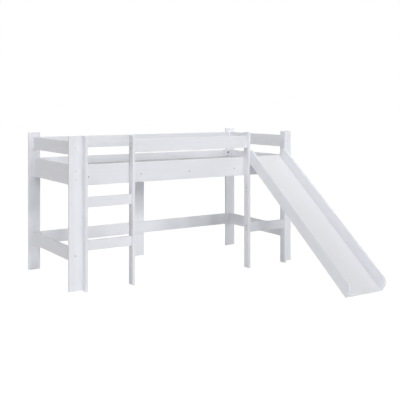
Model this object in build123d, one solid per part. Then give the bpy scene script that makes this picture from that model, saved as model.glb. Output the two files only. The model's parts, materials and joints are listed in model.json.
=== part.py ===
from build123d import *
import os
from math import atan2, cos, degrees, hypot, sin

# A half-high bed with a fixed ladder and a slide at its front.
# Millimetres. X runs along the bed, Y from the front to the back, Z up from the floor.
# The bed is drawn with its front face at Y = 0, and is moved at the end so that
# the origin lies under the middle of the whole.

# Overall sizes
bed_length = 1922
well_width = 800
post_height = 1060
post_width = 93
board = 18
board_easing = 2

# Boards between the posts
main_below_top = 197
main_height = 143
guard_below_top = 36
rail_height = 95
low_rail_bottom = 194
leg_below_main_top = 13
leg_width = 93

# Slats and the battens that carry them
batten_above_board_bottom = 57
batten_height = 22
batten_width = 28
batten_end_gap = 1
slat_width = 100
slat_thickness = 16
slat_end_gap = 2
least_slat_gap = 10

# Ladder, slide entry and front guard
stile_depth = 62
ladder_opening = 340
slide_opening = 340
front_guard_below_top = 28
rung_height = 70
rung_recess = 22
upper_rung_below_board = 112
rung_pitch = 296

# Slide
slide_run = 1138
slide_below_board_top = 9
cheek_height = 95
cheek_gap = 0.5
cheek_head_radius = 28
cheek_foot_radius = 48
slide_bed_thickness = 16
slide_bed_rebate = 9
slide_bed_gap = 0.3

# Bolts with barrel nuts, for boards that butt against a face
bolt_radius = 3
bolt_head_radius = 7
bolt_head_height = 2.5
bolt_socket_radius = 2.3
bolt_socket_depth = 1.6
bolt_tail = 4
nut_radius = 5
nut_length = 14
nut_setback = 30
nut_hole_floor = 2
cap_height = 1.5

# Cam fittings, their bolts and dowels, for boards that butt against an edge
cam_radius = 7.5
cam_depth = 12.5
cam_setback = 23
cam_slot_length = 9
cam_slot_width = 1.8
cam_slot_depth = 2
cam_bolt_radius = 3
cam_bolt_grip = 12
dowel_radius = 4
dowel_length = 40
dowel_end_gap = 0.5
face_dowel_depth = 12

# Screws with countersunk heads
screw_radius = 2
screw_head_radius = 4
screw_socket_radius = 1.4
screw_socket_depth = 1.4
batten_screw_length = 30
stile_screw_length = 55
leg_screw_length = 32
slat_screw_length = 28
slide_screw_length = 34

# Bolts and sleeve nuts that hold the slide
sleeve_radius = 4.2

# Places of the fasteners on the boards that they hold
main_bolt_spread = 62
main_cam_edge = 23
main_dowel_edge = 55
rail_dowel_spread = 46
pair_spread = 32
stile_screw_edge = 34
batten_screw_count = 5
batten_screw_first = 49
batten_screw_last = 63
leg_screw_spread = 46
slat_screw_inset = 14
slide_bolt_along = 16
slide_bolt_first = 27
spare_hole_radius = 3.5
slide_screw_first = 90
slide_screw_count = 5

# Fits
hole_gap = 0.3
seat_gap = 0.2
thread_gap = 0.1
overrun = 1

# Sizes that follow
half_length = bed_length / 2
post_inner_x = half_length - post_width
end_board_x = half_length - post_width / 2
end_inner_x = end_board_x - board / 2
front_inner_y = board
back_inner_y = board + well_width
back_face_y = back_inner_y + board
main_top = post_height - main_below_top
main_bottom = main_top - main_height
main_middle = main_bottom + main_height / 2
leg_height = main_top - leg_below_main_top
guard_bottom = post_height - guard_below_top - rail_height
front_guard_bottom = post_height - front_guard_below_top - rail_height
guard_middle = guard_bottom + rail_height / 2
low_rail_middle = low_rail_bottom + rail_height / 2
batten_middle = main_bottom + batten_above_board_bottom
batten_top = batten_middle + batten_height / 2
slide_top = main_top - slide_below_board_top
slide_length = hypot(slide_run, slide_top)
slope = atan2(slide_top, slide_run)

# Every stile is named with its middle X. The ladder's left stile and the slide's
# right stile stand against the posts' inner edges.
ladder_left_x = -post_inner_x + board / 2
ladder_right_x = ladder_left_x + ladder_opening + board
slide_right_x = post_inner_x - board / 2
slide_left_x = slide_right_x - slide_opening - board
stiles = {
    "ladder_left_stile": ladder_left_x,
    "ladder_right_stile": ladder_right_x,
    "slide_left_stile": slide_left_x,
    "slide_right_stile": slide_right_x,
}
stile_front_y = -stile_depth
stile_middle_y = -stile_depth / 2
rung_front_y = stile_front_y + rung_recess
rung_middle_y = rung_front_y + board / 2
upper_rung_middle = main_bottom - upper_rung_below_board
lower_rung_middle = upper_rung_middle - rung_pitch

along_x = Vector(1, 0, 0)
along_y = Vector(0, 1, 0)
along_z = Vector(0, 0, 1)

# The boards, the cuts that each of them gets, and the fasteners in their groups
boards = {}
cuts = {}
fasteners = {}


def cut(name, *shapes):
    cuts.setdefault(name, []).extend(shapes)


def add_fastener(group, shape):
    fasteners.setdefault(group, []).append(shape)


def plank(x_ends, y_ends, z_ends, run, eased_top=False):
    # A board with its long edges eased, and its top end too where that one is free.
    ends = [sorted(pair) for pair in (x_ends, y_ends, z_ends)]
    sizes = [high - low for low, high in ends]
    middle = [(low + high) / 2 for low, high in ends]
    block = Pos(*middle) * Box(*sizes)
    eased = block.edges().filter_by(run)
    if eased_top:
        eased += block.faces().sort_by(Axis.Z)[-1].edges()
    return fillet(eased, board_easing)


def around(middle, thickness):
    return (middle - thickness / 2, middle + thickness / 2)


def pair_about(middle, spread):
    return (middle - spread / 2, middle + spread / 2)


def rod(start, direction, radius, length):
    upright = (Align.CENTER, Align.CENTER, Align.MIN)
    return Plane(origin=start, z_dir=direction) * Cylinder(radius, length, align=upright)


def socket(start, direction, radius, depth):
    # The six-sided recess in a head.
    return Plane(origin=start, z_dir=direction) * extrude(RegularPolygon(radius, 6), depth)


def hole(start, direction, radius, depth):
    # A bore that also clears the face it starts from.
    return rod(start - direction * overrun, direction, radius, depth + overrun)


def countersink(start, direction, gap):
    # The cone of a screw's head, with its large end at the surface.
    height = screw_head_radius - screw_radius
    cone = Cone(
        screw_head_radius + gap,
        screw_radius + gap,
        height,
        align=(Align.CENTER, Align.CENTER, Align.MIN),
    )
    return Plane(origin=start, z_dir=direction) * cone


def drive_screw(group, through, into, start, direction, length, thickness):
    # A screw flush in one board, whose thread holds in the next.
    screw = countersink(start, direction, 0) + rod(start, direction, screw_radius, length)
    screw -= socket(start, direction, screw_socket_radius, screw_socket_depth)
    add_fastener(group, screw)
    cut(through, hole(start, direction, screw_radius + hole_gap, thickness))
    cut(through, countersink(start, direction, hole_gap))
    seat = start + direction * thickness
    depth = length - thickness + hole_gap
    cut(into, hole(seat, direction, screw_radius + thread_gap, depth))


def bolt_body(start, direction, length):
    bolt = rod(start, direction, bolt_head_radius, bolt_head_height)
    bolt += rod(start, direction, bolt_radius, length)
    return bolt - socket(start, direction, bolt_socket_radius, bolt_socket_depth)


def bolt_into_end(group, plate, beam, start, direction, nut_face, capped=False):
    # A bolt through a plate into a beam's end, where a barrel nut lies across the beam.
    # nut_face points from the beam's middle to the face that the nut goes in from.
    sunk = cap_height if capped else 0
    head = start + direction * sunk
    seat = start + direction * board
    length = board - sunk + nut_setback + nut_radius + bolt_tail
    add_fastener(group, bolt_body(head, direction, length))
    cut(plate, hole(start, direction, bolt_head_radius + seat_gap, sunk + bolt_head_height))
    cut(plate, hole(start, direction, bolt_radius + hole_gap, board + overrun))
    cut(beam, hole(seat, direction, bolt_radius + hole_gap, length + sunk - board + hole_gap))
    nut_middle = seat + direction * nut_setback
    nut = rod(nut_middle - nut_face * (nut_length / 2), nut_face, nut_radius, nut_length)
    bore_start = nut_middle - direction * (nut_radius + overrun)
    bore_length = 2 * (nut_radius + overrun)
    nut -= rod(bore_start, direction, bolt_radius + thread_gap, bore_length)
    add_fastener("barrel_nuts", nut)
    nut_entry = nut_middle + nut_face * (board / 2)
    cut(beam, hole(nut_entry, -nut_face, nut_radius + seat_gap, board - nut_hole_floor))
    if capped:
        add_fastener("bolt_caps", rod(start, direction, bolt_head_radius, cap_height))


def cam_into_end(post, beam, edge_point, direction, face):
    # A cam fitting sunk in the post's face pulls a bolt that is screwed into the beam's end.
    # edge_point lies on the joint at the boards' mid-thickness, direction runs into the beam.
    middle = edge_point - direction * cam_setback
    front = middle + face * (board / 2)
    bore = rod(middle, direction, cam_bolt_radius + hole_gap, cam_setback + overrun)
    housing = rod(front, -face, cam_radius, cam_depth) - bore
    for turn in (0, 90):
        slot = Box(
            cam_slot_length,
            cam_slot_width,
            cam_slot_depth,
            align=(Align.CENTER, Align.CENTER, Align.MIN),
        )
        housing -= Plane(origin=front, z_dir=-face) * Rot(0, 0, turn) * slot
    add_fastener("cam_fittings", housing)
    add_fastener("cam_bolts", rod(middle, direction, cam_bolt_radius, cam_setback + cam_bolt_grip))
    cut(post, hole(front, -face, cam_radius + seat_gap, cam_depth + seat_gap), bore)
    cut(beam, hole(edge_point, direction, cam_bolt_radius + thread_gap, cam_bolt_grip + hole_gap))


def dowel(first, second, joint_point, direction, depth_in_first):
    # A wooden pin across a joint, part in the first board and the rest in the second.
    start = joint_point - direction * depth_in_first
    depth_in_second = dowel_length - depth_in_first
    add_fastener("dowels", rod(start, direction, dowel_radius, dowel_length))
    radius = dowel_radius + thread_gap
    cut(first, hole(joint_point, -direction, radius, depth_in_first + dowel_end_gap))
    cut(second, hole(joint_point, direction, radius, depth_in_second + dowel_end_gap))


def on_slide(x, along, above):
    # A point by its distance down the slide's lower edge and square off that edge.
    return Vector(x, 0, slide_top) + down_slide * along + off_slide * above


down_slide = Vector(0, -cos(slope), -sin(slope))
off_slide = Vector(0, -sin(slope), cos(slope))
sides = (("left", -1), ("right", 1))
rows = (("front", 0, 1), ("back", back_face_y, -1))


# Posts, and the leg behind the middle of the back boards
for row, face_y, inward in rows:
    for side, hand in sides:
        boards[f"{row}_{side}_post"] = plank(
            (hand * half_length, hand * post_inner_x),
            (face_y, face_y + inward * board),
            (0, post_height),
            Axis.Z,
            eased_top=True,
        )
boards["back_centre_leg"] = plank(
    around(0, leg_width),
    (back_face_y, back_face_y + board),
    (0, leg_height),
    Axis.Z,
    eased_top=True,
)

# Long boards between the posts, with cam fittings and dowels at their ends
main_cams = (main_bottom + main_cam_edge, main_top - main_cam_edge)
main_dowels = (main_bottom + main_dowel_edge, main_top - main_dowel_edge)
long_boards = (
    ("front_main_board", "front", main_bottom, main_height, main_cams, main_dowels, 1),
    ("back_main_board", "back", main_bottom, main_height, main_cams, main_dowels, 1),
    (
        "back_guard_board",
        "back",
        guard_bottom,
        rail_height,
        (guard_middle,),
        pair_about(guard_middle, rail_dowel_spread),
        1,
    ),
    (
        "back_lower_rail",
        "back",
        low_rail_bottom,
        rail_height,
        (low_rail_middle,),
        pair_about(low_rail_middle, rail_dowel_spread),
        -1,
    ),
)
row_faces = {row: (face_y, inward) for row, face_y, inward in rows}
for name, row, bottom, height, cam_heights, dowel_heights, cam_side in long_boards:
    face_y, inward = row_faces[row]
    boards[name] = plank(
        (-post_inner_x, post_inner_x),
        (face_y, face_y + inward * board),
        (bottom, bottom + height),
        Axis.X,
    )
    middle_y = face_y + inward * board / 2
    for side, hand in sides:
        post = f"{row}_{side}_post"
        into_board = along_x * -hand
        for z in cam_heights:
            joint_point = Vector(hand * post_inner_x, middle_y, z)
            cam_into_end(post, name, joint_point, into_board, along_y * (inward * cam_side))
        for z in dowel_heights:
            joint_point = Vector(hand * post_inner_x, middle_y, z)
            dowel(post, name, joint_point, into_board, dowel_length / 2)

# End boards, bolted through the posts, with dowels that keep them from turning
end_boards = (
    ("upper_rail", guard_bottom, rail_height, 0, rail_dowel_spread),
    ("main_board", main_bottom, main_height, main_bolt_spread, 0),
    ("lower_rail", low_rail_bottom, rail_height, 0, rail_dowel_spread),
)
for side, hand in sides:
    x = hand * end_board_x
    for kind, bottom, height, bolt_spread, dowel_spread in end_boards:
        name = f"{side}_{kind}"
        middle = bottom + height / 2
        boards[name] = plank(
            around(x, board), (front_inner_y, back_inner_y), (bottom, bottom + height), Axis.Y
        )
        for row, face_y, inward in rows:
            post = f"{row}_{side}_post"
            into_board = along_y * inward
            for z in sorted(set(pair_about(middle, bolt_spread))):
                start = Vector(x, face_y, z)
                bolt_into_end("end_board_bolts", post, name, start, into_board, along_x * -hand)
            for z in sorted(set(pair_about(middle, dowel_spread))):
                joint_point = Vector(x, face_y + inward * board, z)
                dowel(post, name, joint_point, into_board, face_dowel_depth)

# Stiles of the ladder and of the slide, screwed on from behind the front main board
for name, x in stiles.items():
    boards[name] = plank(
        around(x, board), (stile_front_y, 0), (0, post_height), Axis.Z, eased_top=True
    )
    for z in (main_bottom + stile_screw_edge, main_top - stile_screw_edge):
        start = Vector(x, front_inner_y, z)
        drive_screw(
            "stile_screws", "front_main_board", name, start, -along_y, stile_screw_length, board
        )

# Guard between the ladder and the slide
boards["front_guard_board"] = plank(
    (ladder_right_x + board / 2, slide_left_x - board / 2),
    around(stile_middle_y, board),
    (front_guard_bottom, front_guard_bottom + rail_height),
    Axis.X,
)
front_guard_middle = front_guard_bottom + rail_height / 2
for stile, x, hand in (
    ("ladder_right_stile", ladder_right_x, 1),
    ("slide_left_stile", slide_left_x, -1),
):
    for z in pair_about(front_guard_middle, pair_spread):
        start = Vector(x - hand * board / 2, stile_middle_y, z)
        bolt_into_end(
            "guard_bolts", stile, "front_guard_board", start, along_x * hand, along_y
        )

# Rungs, and the slide's cross rail at the height of the lower rung
cross_pieces = (
    ("ladder_lower_rung", "ladder", lower_rung_middle),
    ("ladder_upper_rung", "ladder", upper_rung_middle),
    ("slide_cross_rail", "slide", lower_rung_middle),
)
for name, frame, middle in cross_pieces:
    left_x = stiles[f"{frame}_left_stile"]
    right_x = stiles[f"{frame}_right_stile"]
    boards[name] = plank(
        (left_x + board / 2, right_x - board / 2),
        around(rung_middle_y, board),
        around(middle, rung_height),
        Axis.X,
    )
    for side, x, hand in (("left", left_x, 1), ("right", right_x, -1)):
        stile = f"{frame}_{side}_stile"
        capped = stile == "ladder_left_stile"
        for z in pair_about(middle, pair_spread):
            start = Vector(x - hand * board / 2, rung_middle_y, z)
            bolt_into_end("rung_bolts", stile, name, start, along_x * hand, along_y, capped)

# The slide's stiles have a second pair of holes, left open, at the height of the upper rung
for stile in ("slide_left_stile", "slide_right_stile"):
    for z in pair_about(upper_rung_middle, pair_spread):
        start = Vector(stiles[stile] - board / 2, rung_middle_y, z)
        cut(stile, hole(start, along_x, spare_hole_radius, board + overrun))

# Battens inside the main boards. Their row of screws sits a little nearer the left end.
batten_half = end_inner_x - batten_end_gap
batten_screw_run = 2 * post_inner_x - batten_screw_first - batten_screw_last
batten_screw_pitch = batten_screw_run / (batten_screw_count - 1)
for row, face_y, inward in rows:
    name = f"{row}_slat_batten"
    inner_y = face_y + inward * board
    boards[name] = plank(
        (-batten_half, batten_half),
        (inner_y, inner_y + inward * batten_width),
        around(batten_middle, batten_height),
        Axis.X,
    )
    for index in range(batten_screw_count):
        x = -post_inner_x + batten_screw_first + index * batten_screw_pitch
        start = Vector(x, face_y, batten_middle)
        drive_screw(
            "batten_screws",
            f"{row}_main_board",
            name,
            start,
            along_y * inward,
            batten_screw_length,
            board,
        )

# A close deck of slats, as many as fit, with even gaps between the end boards
slat_room = 2 * end_inner_x
slat_count = int((slat_room - least_slat_gap) // (slat_width + least_slat_gap))
slat_gap = (slat_room - slat_count * slat_width) / (slat_count + 1)
for index in range(slat_count):
    name = f"bed_slat_{index + 1:02d}"
    left_x = -end_inner_x + slat_gap + index * (slat_width + slat_gap)
    slat_front_y = front_inner_y + slat_end_gap
    slat_back_y = back_inner_y - slat_end_gap
    slat_top = batten_top + slat_thickness
    boards[name] = plank(
        (left_x, left_x + slat_width), (slat_front_y, slat_back_y), (batten_top, slat_top), Axis.Y
    )
    x = left_x + slat_width / 2
    for y, batten in (
        (slat_front_y + slat_screw_inset, "front_slat_batten"),
        (slat_back_y - slat_screw_inset, "back_slat_batten"),
    ):
        start = Vector(x, y, slat_top)
        drive_screw(
            "slat_screws", name, batten, start, -along_z, slat_screw_length, slat_thickness
        )

# Screws from the centre leg into the back boards
for name, middle in (("back_main_board", main_middle), ("back_lower_rail", low_rail_middle)):
    for x in pair_about(0, leg_screw_spread):
        start = Vector(x, back_face_y + board, middle)
        drive_screw("leg_screws", "back_centre_leg", name, start, -along_y, leg_screw_length, board)


def slide_plane(right_x):
    # A plane for outlines along the slide, which are extruded towards -X.
    return Plane(origin=on_slide(right_x, 0, 0), x_dir=down_slide, z_dir=-along_x)


def slide_cheek(outer_x, inner_x):
    # A side board of the slide: square ends, upper corners rounded, a rebate for the bed.
    outline = Rectangle(slide_length, cheek_height, align=(Align.MIN, Align.MIN))
    for end, radius in ((0, cheek_head_radius), (-1, cheek_foot_radius)):
        corner = outline.vertices().group_by(Axis.Y)[-1].sort_by(Axis.X)[end]
        outline = fillet(corner, radius)
    right_x = max(outer_x, inner_x)
    cheek = extrude(slide_plane(right_x) * outline, board)
    rims = cheek.faces().filter_by(Plane.YZ).edges()
    cheek = fillet(rims, board_easing)
    into_well = along_x if inner_x > outer_x else -along_x
    rebate_middle = Vector(inner_x, 0, 0) - into_well * ((slide_bed_rebate - overrun) / 2)
    rebate_width = slide_bed_rebate + overrun
    rebate = Pos(-overrun, -overrun) * Rectangle(
        slide_length + 2 * overrun,
        slide_bed_thickness + slide_bed_gap + overrun,
        align=(Align.MIN, Align.MIN),
    )
    rebate_right = rebate_middle.X + rebate_width / 2
    return cheek - extrude(slide_plane(rebate_right) * rebate, rebate_width)


slide_outer_left = slide_left_x + board / 2 + cheek_gap
slide_outer_right = slide_right_x - board / 2 - cheek_gap
slide_inner_left = slide_outer_left + board
slide_inner_right = slide_outer_right - board
boards["slide_left_cheek"] = slide_cheek(slide_outer_left, slide_inner_left)
boards["slide_right_cheek"] = slide_cheek(slide_outer_right, slide_inner_right)

# The slide's bed lies in the rebates, level with the lower edges of the side boards
slide_bed_left = slide_inner_left - slide_bed_rebate + slide_bed_gap
slide_bed_right = slide_inner_right + slide_bed_rebate - slide_bed_gap
slide_bed_outline = Rectangle(slide_length, slide_bed_thickness, align=(Align.MIN, Align.MIN))
boards["slide_bed_panel"] = extrude(
    slide_plane(slide_bed_right) * slide_bed_outline, slide_bed_right - slide_bed_left
)

# Screws from beneath the slide's bed into the side boards
slide_screw_pitch = (slide_length - 2 * slide_screw_first) / (slide_screw_count - 1)
for name, x in (
    ("slide_left_cheek", slide_inner_left - slide_bed_rebate / 2),
    ("slide_right_cheek", slide_inner_right + slide_bed_rebate / 2),
):
    for index in range(slide_screw_count):
        start = on_slide(x, slide_screw_first + index * slide_screw_pitch, 0)
        drive_screw(
            "slide_bed_screws",
            "slide_bed_panel",
            name,
            start,
            off_slide,
            slide_screw_length,
            slide_bed_thickness,
        )

# Bolts from the outside of the slide's stiles into sleeve nuts in its side boards.
# White caps cover both ends.
for name, stile, x, hand in (
    ("slide_left_cheek", "slide_left_stile", slide_left_x, 1),
    ("slide_right_cheek", "slide_right_stile", slide_right_x, -1),
):
    inward = along_x * hand
    stack = board + cheek_gap + board
    sunk_head = cap_height + bolt_head_height
    for above in (slide_bolt_first, slide_bolt_first + pair_spread):
        start = on_slide(x - hand * board / 2, slide_bolt_along, above)
        cheek_start = start + inward * (board + cheek_gap)
        end = start + inward * stack
        bolt_length = stack - cap_height - sunk_head - seat_gap
        add_fastener("slide_bolts", bolt_body(start + inward * cap_height, inward, bolt_length))
        cut(stile, hole(start, inward, bolt_head_radius + seat_gap, sunk_head))
        cut(stile, hole(start, inward, bolt_radius + hole_gap, board + overrun))
        sleeve_end = end - inward * cap_height
        sleeve = rod(sleeve_end, -inward, bolt_head_radius, bolt_head_height)
        sleeve += rod(sleeve_end, -inward, sleeve_radius, board - cap_height)
        bore_start = sleeve_end - inward * bolt_head_height
        sleeve -= rod(bore_start, -inward, bolt_radius + thread_gap, board)
        sleeve -= socket(sleeve_end, -inward, bolt_socket_radius, bolt_socket_depth)
        add_fastener("slide_sleeve_nuts", sleeve)
        cut(name, hole(cheek_start, inward, sleeve_radius + seat_gap, board + overrun))
        cut(name, hole(end, -inward, bolt_head_radius + seat_gap, sunk_head))
        for face, into in ((start, inward), (end, -inward)):
            add_fastener("bolt_caps", rod(face, into, bolt_head_radius, cap_height))

# The whole is moved so that the origin lies on the floor under its middle
slide_reach = -boards["slide_left_cheek"].bounding_box().min.Y
depth_behind = back_face_y + board
to_middle = Pos(0, (slide_reach - depth_behind) / 2, 0)

os.makedirs("parts", exist_ok=True)
for name, shape in boards.items():
    if name in cuts:
        shape = shape - cuts[name]
    export_step(to_middle * shape, f"parts/{name}.step")
for group, shapes in fasteners.items():
    export_step(Compound([to_middle * shape for shape in shapes]), f"parts/{group}.step")

print("nodes", len(boards) + len(fasteners))
print("slope in degrees", round(degrees(slope), 2))
print("slide reach", round(slide_reach, 2), "depth behind", depth_behind)
print("slats", slat_count, "gap", round(slat_gap, 2))
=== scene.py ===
import json
import math
import bmesh
import bpy
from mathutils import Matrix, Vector
from mathutils.bvhtree import BVHTree


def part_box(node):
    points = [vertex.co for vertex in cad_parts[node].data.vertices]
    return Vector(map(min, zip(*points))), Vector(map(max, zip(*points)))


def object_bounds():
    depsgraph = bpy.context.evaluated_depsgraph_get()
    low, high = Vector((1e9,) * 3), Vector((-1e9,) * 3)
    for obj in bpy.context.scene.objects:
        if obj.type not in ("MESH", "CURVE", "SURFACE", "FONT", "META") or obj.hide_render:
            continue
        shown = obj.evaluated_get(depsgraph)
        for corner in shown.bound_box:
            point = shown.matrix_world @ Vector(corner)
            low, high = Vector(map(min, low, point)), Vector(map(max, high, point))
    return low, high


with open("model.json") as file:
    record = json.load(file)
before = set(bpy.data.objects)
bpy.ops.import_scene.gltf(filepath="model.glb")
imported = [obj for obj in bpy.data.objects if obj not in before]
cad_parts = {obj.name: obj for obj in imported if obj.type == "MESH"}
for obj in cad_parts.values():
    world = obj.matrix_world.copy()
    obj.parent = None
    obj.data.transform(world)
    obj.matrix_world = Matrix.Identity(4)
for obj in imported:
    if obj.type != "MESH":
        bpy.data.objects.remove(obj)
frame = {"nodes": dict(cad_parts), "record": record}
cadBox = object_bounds()
nodes = frame["nodes"]
slotOfNode = {part["node"]: part["material_slot"] for part in frame["record"]["subparts"]}
print("frame loaded:", len(nodes), "nodes")


# Shader helpers

def newGroup(name, inputs, outputs):
    group = bpy.data.node_groups.new(name, "ShaderNodeTree")
    for socketName, socketType, default in inputs:
        socket = group.interface.new_socket(socketName, in_out="INPUT", socket_type=socketType)
        socket.default_value = default
    for socketName, socketType in outputs:
        group.interface.new_socket(socketName, in_out="OUTPUT", socket_type=socketType)
    return group


def addNode(tree, kind, values=None, **settings):
    node = tree.nodes.new(kind)
    for key, value in settings.items():
        setattr(node, key, value)
    for key, value in (values or {}).items():
        node.inputs[key].default_value = value
    return node


def mathNode(tree, operation, *values, clamp=False):
    node = addNode(tree, "ShaderNodeMath", operation=operation, use_clamp=clamp)
    for index, value in enumerate(values):
        if isinstance(value, bpy.types.NodeSocket):
            tree.links.new(value, node.inputs[index])
        else:
            node.inputs[index].default_value = value
    return node.outputs[0]


def seenDirectly(tree):
    # 1 where the camera looks, straight or by way of a polished or clear surface,
    # and 0 for light that scatters.
    rays = addNode(tree, "ShaderNodeLightPath").outputs
    seen = mathNode(tree, "MAXIMUM", rays["Is Camera Ray"], rays["Is Glossy Ray"])
    return mathNode(tree, "MAXIMUM", seen, rays["Is Transmission Ray"])


def stretchedPlace(group, source):
    # Object coordinates, turned to the board's run and stretched along it.
    place = addNode(group, "ShaderNodeTexCoord")
    turned = addNode(group, "ShaderNodeMapping")
    group.links.new(place.outputs["Object"], turned.inputs["Vector"])
    group.links.new(source.outputs["Turn"], turned.inputs["Rotation"])
    stretched = addNode(group, "ShaderNodeVectorMath", operation="MULTIPLY")
    group.links.new(turned.outputs["Vector"], stretched.inputs[0])
    group.links.new(source.outputs["Along"], stretched.inputs[1])
    return place.outputs["Object"], turned.outputs["Vector"], stretched.outputs["Vector"]


def tintedSurface(group, source, result, shade, unevenness):
    # The tint in its shade, and a roughness that swings about the gloss.
    link = group.links.new
    tinted = addNode(group, "ShaderNodeVectorMath", operation="SCALE")
    link(source.outputs["Tint"], tinted.inputs[0])
    link(shade, tinted.inputs["Scale"])
    link(tinted.outputs["Vector"], result.inputs["Color"])
    glossSwing = mathNode(group, "MULTIPLY", unevenness, source.outputs["Gloss Spread"])
    roughness = mathNode(group, "ADD", glossSwing, source.outputs["Gloss"], clamp=True)
    link(roughness, result.inputs["Roughness"])


surfaceOutputs = (
    ("Color", "NodeSocketColor"),
    ("Roughness", "NodeSocketFloat"),
    ("Height", "NodeSocketFloat"),
)
noiseMiddle = 0.5  # a noise swings about this value

# A sprayed and sanded lacquer: fine orange peel over the faint lines of the board beneath.
lacquerNoises = {
    "lines": {"Scale": 1, "Detail": 5, "Roughness": 0.62},
    "peel": {"Detail": 2, "Roughness": 0.5},
    "cloud": {"Scale": 5.5, "Detail": 4, "Roughness": 0.55},
}


def buildLacquerGroup():
    group = newGroup(
        "lacqueredBoard",
        (
            ("Tint", "NodeSocketColor", (0.8, 0.8, 0.82, 1)),
            ("Along", "NodeSocketVector", (1, 1, 1)),
            ("Turn", "NodeSocketVector", (0, 0, 0)),
            ("Peel Scale", "NodeSocketFloat", 400),
            ("Line Depth", "NodeSocketFloat", 0.5),
            ("Line Shade", "NodeSocketFloat", 0.1),
            ("Cloud Strength", "NodeSocketFloat", 0.02),
            ("Gloss", "NodeSocketFloat", 0.4),
            ("Gloss Spread", "NodeSocketFloat", 0.06),
        ),
        surfaceOutputs,
    )
    source = addNode(group, "NodeGroupInput")
    result = addNode(group, "NodeGroupOutput")
    link = group.links.new
    place, turned, stretched = stretchedPlace(group, source)
    lines = addNode(group, "ShaderNodeTexNoise", lacquerNoises["lines"])
    link(stretched, lines.inputs["Vector"])
    peel = addNode(group, "ShaderNodeTexNoise", lacquerNoises["peel"])
    link(place, peel.inputs["Vector"])
    link(source.outputs["Peel Scale"], peel.inputs["Scale"])
    cloud = addNode(group, "ShaderNodeTexNoise", lacquerNoises["cloud"])
    link(turned, cloud.inputs["Vector"])

    centredCloud = mathNode(group, "SUBTRACT", cloud.outputs["Fac"], noiseMiddle)
    cloudShade = mathNode(group, "MULTIPLY_ADD", centredCloud, source.outputs["Cloud Strength"], 1)
    centredLines = mathNode(group, "SUBTRACT", lines.outputs["Fac"], noiseMiddle)
    shade = mathNode(group, "MULTIPLY_ADD", centredLines, source.outputs["Line Shade"], cloudShade)
    tintedSurface(group, source, result, shade, centredCloud)
    lineHeight = mathNode(group, "MULTIPLY", lines.outputs["Fac"], source.outputs["Line Depth"])
    link(mathNode(group, "ADD", lineHeight, peel.outputs["Fac"]), result.inputs["Height"])
    return group


# Bare planed wood: light and dark growth lines, with fine pores along them.
woodNoises = {
    "growth": {"Scale": 1, "Detail": 6, "Distortion": 0.4},
    "pores": {"Scale": 9, "Detail": 3, "Roughness": 0.7},
}


def buildWoodGroup():
    group = newGroup(
        "planedWood",
        (
            ("Light", "NodeSocketColor", (0.75, 0.6, 0.4, 1)),
            ("Dark", "NodeSocketColor", (0.55, 0.38, 0.22, 1)),
            ("Along", "NodeSocketVector", (1, 1, 1)),
            ("Turn", "NodeSocketVector", (0, 0, 0)),
            ("Pore Strength", "NodeSocketFloat", 0.2),
            ("Gloss", "NodeSocketFloat", 0.6),
            ("Gloss Spread", "NodeSocketFloat", 0.15),
        ),
        surfaceOutputs,
    )
    source = addNode(group, "NodeGroupInput")
    result = addNode(group, "NodeGroupOutput")
    link = group.links.new
    stretched = stretchedPlace(group, source)[2]
    growth = addNode(group, "ShaderNodeTexNoise", woodNoises["growth"])
    link(stretched, growth.inputs["Vector"])
    pores = addNode(group, "ShaderNodeTexNoise", woodNoises["pores"])
    link(stretched, pores.inputs["Vector"])
    poreShade = mathNode(group, "MULTIPLY", pores.outputs["Fac"], source.outputs["Pore Strength"])
    tone = mathNode(group, "ADD", growth.outputs["Fac"], poreShade, clamp=True)
    blend = addNode(group, "ShaderNodeMix", data_type="RGBA")
    # The Mix node has sockets of the same name for numbers and colours, so places pick them.
    fraction, light, dark = blend.inputs[0], blend.inputs[6], blend.inputs[7]
    blended = blend.outputs[2]
    link(tone, fraction)
    link(source.outputs["Light"], light)
    link(source.outputs["Dark"], dark)
    link(blended, result.inputs["Color"])
    gloss = source.outputs["Gloss"]
    roughness = mathNode(group, "MULTIPLY_ADD", tone, source.outputs["Gloss Spread"], gloss)
    link(roughness, result.inputs["Roughness"])
    link(tone, result.inputs["Height"])
    return group


# Plated or cast metal with a mottled tone.
metalNoise = {"Detail": 4, "Roughness": 0.6}


def buildMetalGroup():
    group = newGroup(
        "platedMetal",
        (
            ("Tint", "NodeSocketColor", (0.6, 0.6, 0.6, 1)),
            ("Mottle Scale", "NodeSocketFloat", 900),
            ("Mottle Strength", "NodeSocketFloat", 0.2),
            ("Gloss", "NodeSocketFloat", 0.35),
            ("Gloss Spread", "NodeSocketFloat", 0.2),
        ),
        surfaceOutputs,
    )
    source = addNode(group, "NodeGroupInput")
    result = addNode(group, "NodeGroupOutput")
    link = group.links.new
    place = addNode(group, "ShaderNodeTexCoord").outputs["Object"]
    mottle = addNode(group, "ShaderNodeTexNoise", metalNoise)
    link(place, mottle.inputs["Vector"])
    link(source.outputs["Mottle Scale"], mottle.inputs["Scale"])
    centredMottle = mathNode(group, "SUBTRACT", mottle.outputs["Fac"], noiseMiddle)
    shade = mathNode(group, "MULTIPLY_ADD", centredMottle, source.outputs["Mottle Strength"], 1)
    tintedSurface(group, source, result, shade, centredMottle)
    link(mottle.outputs["Fac"], result.inputs["Height"])
    return group


groups = {
    "lacquer": buildLacquerGroup(),
    "wood": buildWoodGroup(),
    "metal": buildMetalGroup(),
}
print("surface groups built:", len(groups))

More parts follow.
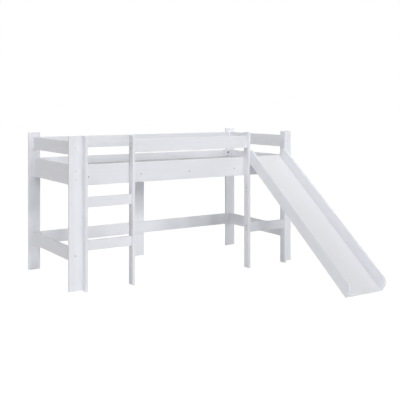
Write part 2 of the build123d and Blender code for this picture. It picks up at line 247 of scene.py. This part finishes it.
# One finish for each slot of the record, and a raw board finish, darkened as painted shade, for
# the walls of the open bolt holes.
# texture names the group that makes the surface, and values are that group's own.
finishes = {
    "white_board": {
        "texture": "lacquer",
        "values": {
            "Tint": (0.772, 0.778, 0.815, 1),
            "Peel Scale": 380,
            "Line Depth": 0.6,
            "Line Shade": 0.08,
            "Cloud Strength": 0.03,
            "Gloss": 0.42,
            "Gloss Spread": 0.08,
        },
        "bump": {"Strength": 0.12, "Distance": 0.0004},
        "shader": {"Metallic": 0, "IOR": 1.46},
    },
    "slide_lacquer": {
        "texture": "lacquer",
        "values": {
            "Tint": (0.805, 0.81, 0.84, 1),
            "Peel Scale": 260,
            "Line Depth": 0.1,
            "Line Shade": 0.08,
            "Cloud Strength": 0.02,
            "Gloss": 0.3,
            "Gloss Spread": 0.06,
        },
        "bump": {"Strength": 0.06, "Distance": 0.0003},
        "shader": {"Metallic": 0, "IOR": 1.48},
    },
    # The slats are white like the boards. Their grey tint is painted shade, so the strip of deck
    # seen over the front board looks as shaded as the well.
    "primed_slat": {
        "texture": "lacquer",
        "values": {
            "Tint": (0.48, 0.48, 0.485, 1),
            "Peel Scale": 500,
            "Line Depth": 0.9,
            "Line Shade": 0.2,
            "Cloud Strength": 0.08,
            "Gloss": 0.75,
            "Gloss Spread": 0.1,
        },
        "bump": {"Strength": 0.2, "Distance": 0.0004},
        "shader": {"Metallic": 0, "IOR": 1.45},
    },
    "white_plastic": {
        "texture": "lacquer",
        "values": {
            "Tint": (0.77, 0.77, 0.81, 1),
            "Peel Scale": 1600,
            "Line Depth": 0,
            "Line Shade": 0,
            "Cloud Strength": 0.01,
            "Gloss": 0.5,
            "Gloss Spread": 0.04,
        },
        "bump": {"Strength": 0.1, "Distance": 0.0002},
        "shader": {"Metallic": 0, "IOR": 1.49},
    },
    # The raw board here is much darker than bare board: painted shade for the inside of the narrow
    # holes.
    "raw_board": {
        "texture": "wood",
        "values": {
            "Light": (0.2, 0.16, 0.12, 1),
            "Dark": (0.12, 0.09, 0.065, 1),
            "Pore Strength": 0.3,
            "Gloss": 0.8,
            "Gloss Spread": 0.15,
        },
        "bump": {"Strength": 0.3, "Distance": 0.0003},
        "shader": {"Metallic": 0, "IOR": 1.4},
    },
    "beech": {
        "texture": "wood",
        "values": {
            "Light": (0.72, 0.53, 0.34, 1),
            "Dark": (0.5, 0.32, 0.18, 1),
            "Pore Strength": 0.3,
            "Gloss": 0.55,
            "Gloss Spread": 0.15,
        },
        "bump": {"Strength": 0.2, "Distance": 0.0003},
        "shader": {"Metallic": 0, "IOR": 1.5},
    },
    "zinc_steel": {
        "texture": "metal",
        "values": {
            "Tint": (0.54, 0.54, 0.55, 1),
            "Mottle Scale": 700,
            "Mottle Strength": 0.3,
            "Gloss": 0.5,
            "Gloss Spread": 0.25,
        },
        "bump": {"Strength": 0.08, "Distance": 0.0002},
        "shader": {"Metallic": 1, "IOR": 2.5},
    },
    "black_steel": {
        "texture": "metal",
        "values": {
            "Tint": (0.16, 0.16, 0.165, 1),
            "Mottle Scale": 900,
            "Mottle Strength": 0.4,
            "Gloss": 0.42,
            "Gloss Spread": 0.25,
        },
        "bump": {"Strength": 0.1, "Distance": 0.0002},
        "shader": {"Metallic": 1, "IOR": 2},
    },
    "dark_zinc": {
        "texture": "metal",
        "values": {
            "Tint": (0.02, 0.02, 0.022, 1),
            "Mottle Scale": 500,
            "Mottle Strength": 0.5,
            "Gloss": 0.5,
            "Gloss Spread": 0.2,
        },
        "bump": {"Strength": 0.2, "Distance": 0.0002},
        "shader": {"Metallic": 0.4, "IOR": 1.45},
    },
}

# Lines of the board beneath the finish: how many to a metre along the run and across it.
grain = {"along": 1.6, "across": 75}

# The slide's pieces run down its slope, which its bed gives.
slideLow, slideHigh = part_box("slide_bed_panel")
slideSlope = math.atan2(slideHigh.z - slideLow.z, slideHigh.y - slideLow.y)
slopedNodes = ("slide_left_cheek", "slide_right_cheek", "slide_bed_panel")


def runOfNode(name):
    # The direction that a board runs in: along X, Y or Z, or down the slide.
    if name in slopedNodes:
        return "Slope"
    low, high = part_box(name)
    sizes = list(high - low)
    return "XYZ"[sizes.index(max(sizes))]


def finishMaterial(slotName, run):
    name = slotName.title().replace("_", "") + run
    name = name[0].lower() + name[1:]
    known = bpy.data.materials.get(name)
    if known:
        return known
    finish = finishes[slotName]
    material = bpy.data.materials.new(name)
    material.use_nodes = True
    tree = material.node_tree
    shader = tree.nodes["Principled BSDF"]
    texture = addNode(tree, "ShaderNodeGroup")
    texture.node_tree = groups[finish["texture"]]
    for key, value in finish["values"].items():
        texture.inputs[key].default_value = value
    if "Along" in texture.inputs:
        # A sloped piece is turned level first, so its lines then run along Y.
        runAxis = "Y" if run == "Slope" else run
        stretch = [grain["along"] if axis == runAxis else grain["across"] for axis in "XYZ"]
        texture.inputs["Along"].default_value = stretch
        texture.inputs["Turn"].default_value = (-slideSlope if run == "Slope" else 0, 0, 0)
    bump = addNode(tree, "ShaderNodeBump", finish["bump"])
    tree.links.new(texture.outputs["Color"], shader.inputs["Base Color"])
    tree.links.new(texture.outputs["Roughness"], shader.inputs["Roughness"])
    tree.links.new(texture.outputs["Height"], bump.inputs["Height"])
    tree.links.new(bump.outputs["Normal"], shader.inputs["Normal"])
    for key, value in finish["shader"].items():
        shader.inputs[key].default_value = value
    return material


# Bolt holes are drilled after the lacquer, so their walls show the raw board, darkened further as
# painted shade.
# A wall of a hole is a face that looks at another face of its own board within the width of a bolt
# hole, in metres.
lacqueredSlots = ("white_board", "primed_slat", "slide_lacquer")
boltHole = {"width": 0.0075, "start": 0.00005}


def facesInBoltHoles(mesh):
    shape = bmesh.new()
    shape.from_mesh(mesh)
    shape.normal_update()
    surroundings = BVHTree.FromBMesh(shape)
    found = []
    for face in shape.faces:
        start = face.calc_center_median() + face.normal * boltHole["start"]
        if surroundings.ray_cast(start, face.normal, boltHole["width"])[0]:
            found.append(face.index)
    shape.free()
    return found


shadedRawFaces = 0
for nodeName, node in nodes.items():
    run = runOfNode(nodeName)
    node.data.materials.clear()
    node.data.materials.append(finishMaterial(slotOfNode[nodeName], run))
    if slotOfNode[nodeName] not in lacqueredSlots:
        continue
    boredFaces = facesInBoltHoles(node.data)
    if not boredFaces:
        continue
    shadedRawPlace = len(node.data.materials)
    node.data.materials.append(finishMaterial("raw_board", run))
    for index in boredFaces:
        node.data.polygons[index].material_index = shadedRawPlace
    shadedRawFaces += len(boredFaces)
print("materials:", len(bpy.data.materials), "raw faces in bolt holes:", shadedRawFaces)

# A wide pale floor. Seen directly it is near white, and a small share of its own shading keeps
# the shadow. Seen from below it is clear, so that the bed's underside can be looked at.
floorLook = {
    "size": 60,
    "segments": 2,
    "tint": (0.86, 0.86, 0.87),
    "gloss": 0.9,
    "white": 0.9,
    "shadowShare": 0.25,
}


def buildFloor():
    mesh = bpy.data.meshes.new("floor")
    shape = bmesh.new()
    segments, halfSize = floorLook["segments"], floorLook["size"] / 2
    bmesh.ops.create_grid(shape, x_segments=segments, y_segments=segments, size=halfSize)
    shape.to_mesh(mesh)
    shape.free()
    floor = bpy.data.objects.new("floor", mesh)
    bpy.context.scene.collection.objects.link(floor)
    floor.location.z = cadBox[0].z
    material = bpy.data.materials.new("paleFloor")
    material.use_nodes = True
    tree = material.node_tree
    link = tree.links.new
    shader = tree.nodes["Principled BSDF"]
    shader.inputs["Roughness"].default_value = floorLook["gloss"]
    shader.inputs["Specular IOR Level"].default_value = 0
    shader.inputs["Emission Color"].default_value = (1, 1, 1, 1)
    seen = seenDirectly(tree)
    ownShare = mathNode(tree, "MULTIPLY_ADD", seen, floorLook["shadowShare"] - 1, 1)
    tint = addNode(tree, "ShaderNodeVectorMath", {0: floorLook["tint"]}, operation="SCALE")
    link(ownShare, tint.inputs["Scale"])
    link(tint.outputs["Vector"], shader.inputs["Base Color"])
    link(mathNode(tree, "MULTIPLY", seen, floorLook["white"]), shader.inputs["Emission Strength"])
    fromBelow = addNode(tree, "ShaderNodeNewGeometry").outputs["Backfacing"]
    clear = addNode(tree, "ShaderNodeBsdfTransparent")
    mixed = addNode(tree, "ShaderNodeMixShader")
    link(mathNode(tree, "MULTIPLY", seen, fromBelow), mixed.inputs["Fac"])
    link(shader.outputs["BSDF"], mixed.inputs[1])
    link(clear.outputs["BSDF"], mixed.inputs[2])
    link(mixed.outputs["Shader"], tree.nodes["Material Output"].inputs["Surface"])
    mesh.materials.append(material)


buildFloor()
print("floor built")

# Far lamps shine from one direction all over the bed. side and height are its angles in degrees:
# side 0 is straight before the bed, and positive sides are its left. Near lamps are round boxes
# that stand in the room and shine towards aim. Their places and aim are measured in metres from
# the outer front foot of the left front post. roomStrength is the light of the room itself, which
# looks white in any case.
studio = {
    "roomStrength": 0,
    "aim": (0.9, 0.2, 0.5),
    "farLamps": {
        "lowKeyRight": {"side": -12, "height": 6, "spread": 7, "strength": 0.189},
        "lowKeyLeft": {"side": 45, "height": 6, "spread": 7, "strength": 0.175},
        "frontKey": {"side": 0, "height": 14, "spread": 7, "strength": 0.522},
        "highKeyRight": {"side": -12, "height": 20, "spread": 7, "strength": 0.307},
        "highKeyLeft": {"side": 12, "height": 23, "spread": 7, "strength": 0.455},
        "highLeft": {"side": 60, "height": 22, "spread": 9, "strength": 0.301},
        "farLeft": {"side": 85, "height": 12, "spread": 9, "strength": 0.611},
        "behindRight": {"side": -120, "height": 10, "spread": 40, "strength": 2.33},
        "top": {"side": 0, "height": 90, "spread": 90, "strength": 0.582},
    },
    "nearLamps": {
        "leftBox": {"place": (-1.0, -4.0, 0.9), "size": 0.7, "watts": 13.1},
        "rightBox": {"place": (5.0, -1.0, 1.2), "size": 1.0, "watts": 26.2},
        "topBox": {"place": (1.0, 0.4, 3.5), "size": 2.0, "watts": 28.4},
    },
}


def buildRoom():
    world = bpy.data.worlds.new("studioRoom")
    bpy.context.scene.world = world
    world.use_nodes = True
    tree = world.node_tree
    link = tree.links.new
    room = tree.nodes["Background"]
    room.inputs["Strength"].default_value = studio["roomStrength"]
    backdrop = addNode(tree, "ShaderNodeBackground", {"Color": (1, 1, 1, 1), "Strength": 1})
    mixed = addNode(tree, "ShaderNodeMixShader")
    link(seenDirectly(tree), mixed.inputs["Fac"])
    link(room.outputs["Background"], mixed.inputs[1])
    link(backdrop.outputs["Background"], mixed.inputs[2])
    link(mixed.outputs["Shader"], tree.nodes["World Output"].inputs["Surface"])


def addLamp(name, kind, strength, direction):
    lamp = bpy.data.lights.new(name, kind)
    lamp.energy = strength
    holder = bpy.data.objects.new(name, lamp)
    holder.rotation_euler = direction.to_track_quat("Z", "Y").to_euler()
    bpy.context.scene.collection.objects.link(holder)
    return lamp, holder


def buildFarLamp(name, look):
    side, height = math.radians(look["side"]), math.radians(look["height"])
    level = math.cos(height)
    toward = Vector((-math.sin(side) * level, -math.cos(side) * level, math.sin(height)))
    lamp = addLamp(name, "SUN", look["strength"], toward)[0]
    lamp.angle = math.radians(look["spread"])


def buildNearLamp(name, look):
    place, aim = Vector(look["place"]), Vector(studio["aim"])
    lamp, holder = addLamp(name, "AREA", look["watts"], place - aim)
    lamp.shape = "DISK"
    lamp.size = look["size"]
    holder.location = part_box("front_left_post")[0] + place


buildRoom()
for lampName, lampLook in studio["farLamps"].items():
    buildFarLamp(lampName, lampLook)
for lampName, lampLook in studio["nearLamps"].items():
    buildNearLamp(lampName, lampLook)
print("room built with lamps:", len(bpy.data.lights))

# The camera stands level at the photograph's eye height and is shifted down to the bed.
# Its place is measured from the outer front foot of the left front post, in metres.
photoCamera = {
    "fromFoot": (-1.9545, -4.8486, 1.298),
    "tilt": math.radians(90),
    "turn": math.radians(-33.267),
    "imagePixels": 400,
    "focalPixels": 753.8,
    "principalPixel": (219.9, 101.6),
    "sensor": 36,
}


def buildCamera():
    look = photoCamera
    pixels = look["imagePixels"]
    acrossPixel, downPixel = look["principalPixel"]
    lens = bpy.data.cameras.new("photoCamera")
    lens.sensor_width = look["sensor"]
    lens.lens = look["focalPixels"] / pixels * look["sensor"]
    lens.shift_x = (pixels / 2 - acrossPixel) / pixels
    lens.shift_y = (downPixel - pixels / 2) / pixels
    lens.dof.use_dof = False
    camera = bpy.data.objects.new("photoCamera", lens)
    camera.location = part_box("front_left_post")[0] + Vector(look["fromFoot"])
    camera.rotation_euler = (look["tilt"], 0, look["turn"])
    bpy.context.scene.collection.objects.link(camera)
    bpy.context.scene.camera = camera


buildCamera()
bpy.context.scene.view_settings.view_transform = "Standard"
print("camera set")
